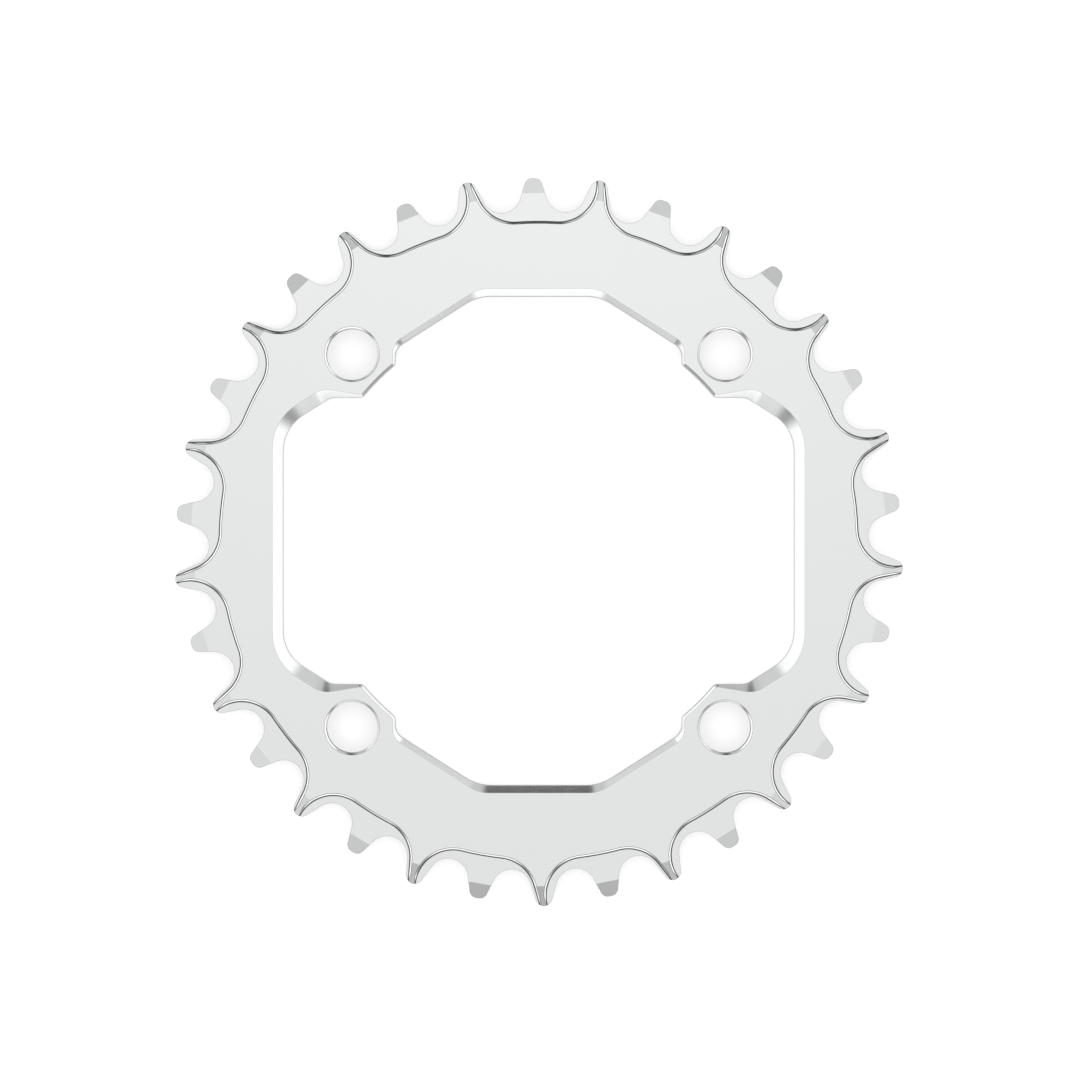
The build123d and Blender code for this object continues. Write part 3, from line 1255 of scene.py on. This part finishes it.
@dataclass
class Studio:
    """A white dome with soft panels and grey cards on it, a pale floor and a camera straight above.

    Attributes:
        floor_height: Height of the floor, in metres. It is a hair above the chainring's back face, so
            that the two surfaces don't coincide.
        floor_rings: Radii of the floor's rings, in metres.
        floor_points: Points round each ring, of which the last lies on the first.
        floor_finish: The floor's paint.
        camera_place: Place of the camera, in metres.
        lens: The camera's focal length, in millimetres.
        sensor: The width of its picture, in millimetres.
        clip: The nearest and the farthest that it sees, in metres.
        white: Colour of the light, and of what the camera sees beyond the floor.
        dome: Strength of the dome, where 1 is white.
        panels: The panels and cards on the dome.
    """

    floor_height: float = -0.00188
    floor_rings: tuple[float, ...] = (0.0, 0.45, 1.2, 3.0)
    floor_points: int = 65
    floor_finish: MattWhitePaint = field(default_factory=MattWhitePaint)
    camera_place: tuple[float, float, float] = (0.00027, 0.00016, 1.0019)
    lens: float = 169.2
    sensor: float = 36.0
    clip: tuple[float, float] = (0.05, 50.0)
    white: str = "#FFFFFF"
    dome: float = 0.895
    # Each row is a name, azimuth, half width, side blur, top, bottom, blur and strength.
    panels: tuple[SoftPanel, ...] = (
        SoftPanel("top panel", 0, 60, 90, -40, 15, 8, 0.155),
        SoftPanel("top frame", 0, 200, 10, 17, 29, 4, -0.085),
        SoftPanel("top frame, back corners", 37, 16, 26, 17, 29, 4, -0.29),
        SoftPanel("top frame, front", 180, 30, 44, 17, 29, 4, -0.375),
        SoftPanel("wall lights", 0, 200, 10, 76, 100, 6, 0.42),
        SoftPanel("back wall", 0, 36, 14, 76, 100, 6, -0.67),
        SoftPanel("back wall, middle", 0, 9, 16, 76, 100, 6, -0.64),
        SoftPanel("front corners", 135.3, 12.3, 22, 76, 100, 6, -1.0),
    )

    def build_world(self) -> None:
        """Make the dome and its panels in the world, which is white to the camera.

        A direction's angle from straight up is acos z, and its azimuth the size of atan2(x, y). A panel
        is its strength times a smooth step over each of the two angles, and all are added to the dome.
        """
        world = bpy.data.worlds.new("studio")
        world.use_nodes = True
        bpy.context.scene.world = world
        tree = world.node_tree
        tree.nodes.clear()
        direction = add_node(
            tree, "ShaderNodeSeparateXYZ", {0: add_node(tree, "ShaderNodeTexCoord").outputs["Generated"]}
        )
        polar = add_node(tree, "ShaderNodeMath", {0: direction.outputs["Z"]}, operation="ARCCOSINE")
        bearing = add_node(
            tree,
            "ShaderNodeMath",
            {0: direction.outputs["X"], 1: direction.outputs["Y"]},
            operation="ARCTAN2",
        )
        azimuth = add_node(tree, "ShaderNodeMath", {0: bearing.outputs[0]}, operation="ABSOLUTE")
        total: bpy.types.NodeSocket | float = self.dome
        for panel in self.panels:
            middle, half = (panel.top + panel.bottom) / 2, (panel.bottom - panel.top) / 2
            spans = (
                (azimuth, panel.azimuth, panel.half_width, panel.side_blur),
                (polar, middle, half, panel.blur),
            )
            steps = []
            for angle, centre, width, blur in spans:
                off = add_node(
                    tree,
                    "ShaderNodeMath",
                    {0: angle.outputs[0], 1: math.radians(centre)},
                    operation="SUBTRACT",
                )
                size = add_node(tree, "ShaderNodeMath", {0: off.outputs[0]}, operation="ABSOLUTE")
                outer, inner = math.radians(width + blur / 2), math.radians(width - blur / 2)
                steps.append(
                    add_node(
                        tree,
                        "ShaderNodeMapRange",
                        {0: size.outputs[0], 1: outer, 2: inner, 3: 0.0, 4: 1.0},
                        interpolation_type="SMOOTHSTEP",
                    )
                )
            lit = add_node(
                tree,
                "ShaderNodeMath",
                {0: steps[0].outputs[0], 1: steps[1].outputs[0]},
                operation="MULTIPLY",
            )
            total = add_node(
                tree,
                "ShaderNodeMath",
                {0: lit.outputs[0], 1: panel.strength, 2: total},
                operation="MULTIPLY_ADD",
                label=panel.name,
            ).outputs[0]
        white = add_node(tree, "ShaderNodeBackground", {"Color": linear(self.white), "Strength": 1.0})
        light = add_node(tree, "ShaderNodeBackground", {"Color": linear(self.white), "Strength": total})
        seen = add_node(tree, "ShaderNodeLightPath").outputs["Is Camera Ray"]
        shown = add_node(tree, "ShaderNodeMixShader", {0: seen, 1: light.outputs[0], 2: white.outputs[0]})
        add_node(tree, "ShaderNodeOutputWorld", {"Surface": shown.outputs[0]})

    def build_floor(self) -> bpy.types.Object:
        """Lay the pale floor, a fan of rings r (cos a, sin a) under the chainring.

        Returns:
            The floor's object.
        """
        angles, radii = np.linspace(0, 360, self.floor_points), np.array(self.floor_rings)
        grid = raised(radii[:, None, None] * unit(angles), self.floor_height)
        mesh = bpy.data.meshes.new("floor")
        mesh.from_pydata(grid.reshape(-1, 3).tolist(), [], cells(grid.shape[:2]).reshape(-1, 4).tolist())
        floor = bpy.data.objects.new("floor", mesh)
        bpy.context.scene.collection.objects.link(floor)
        mesh.materials.append(self.floor_finish.material())
        return floor

    def build_camera(self) -> bpy.types.Object:
        """Hang the camera over the chainring, looking straight down with +Y up.

        Returns:
            The camera's object.
        """
        data = bpy.data.cameras.new("camera")
        data.lens, data.sensor_width = self.lens, self.sensor
        data.clip_start, data.clip_end = self.clip
        camera = bpy.data.objects.new("camera", data)
        camera.location = self.camera_place
        bpy.context.scene.collection.objects.link(camera)
        bpy.context.scene.camera = camera
        return camera


def main() -> None:
    """Build the chainring and the set in order."""
    logging.basicConfig(level=logging.INFO, format="%(name)s: %(message)s")
    bpy.context.scene.view_settings.view_transform = "Standard"
    piece = Chainring().build()
    LOG.info("%s has %d faces", piece.name, len(piece.data.polygons))
    studio = Studio()
    studio.build_world()
    LOG.info("%s laid, %s hung", studio.build_floor().name, studio.build_camera().name)


if __name__ == "__main__":
    main()
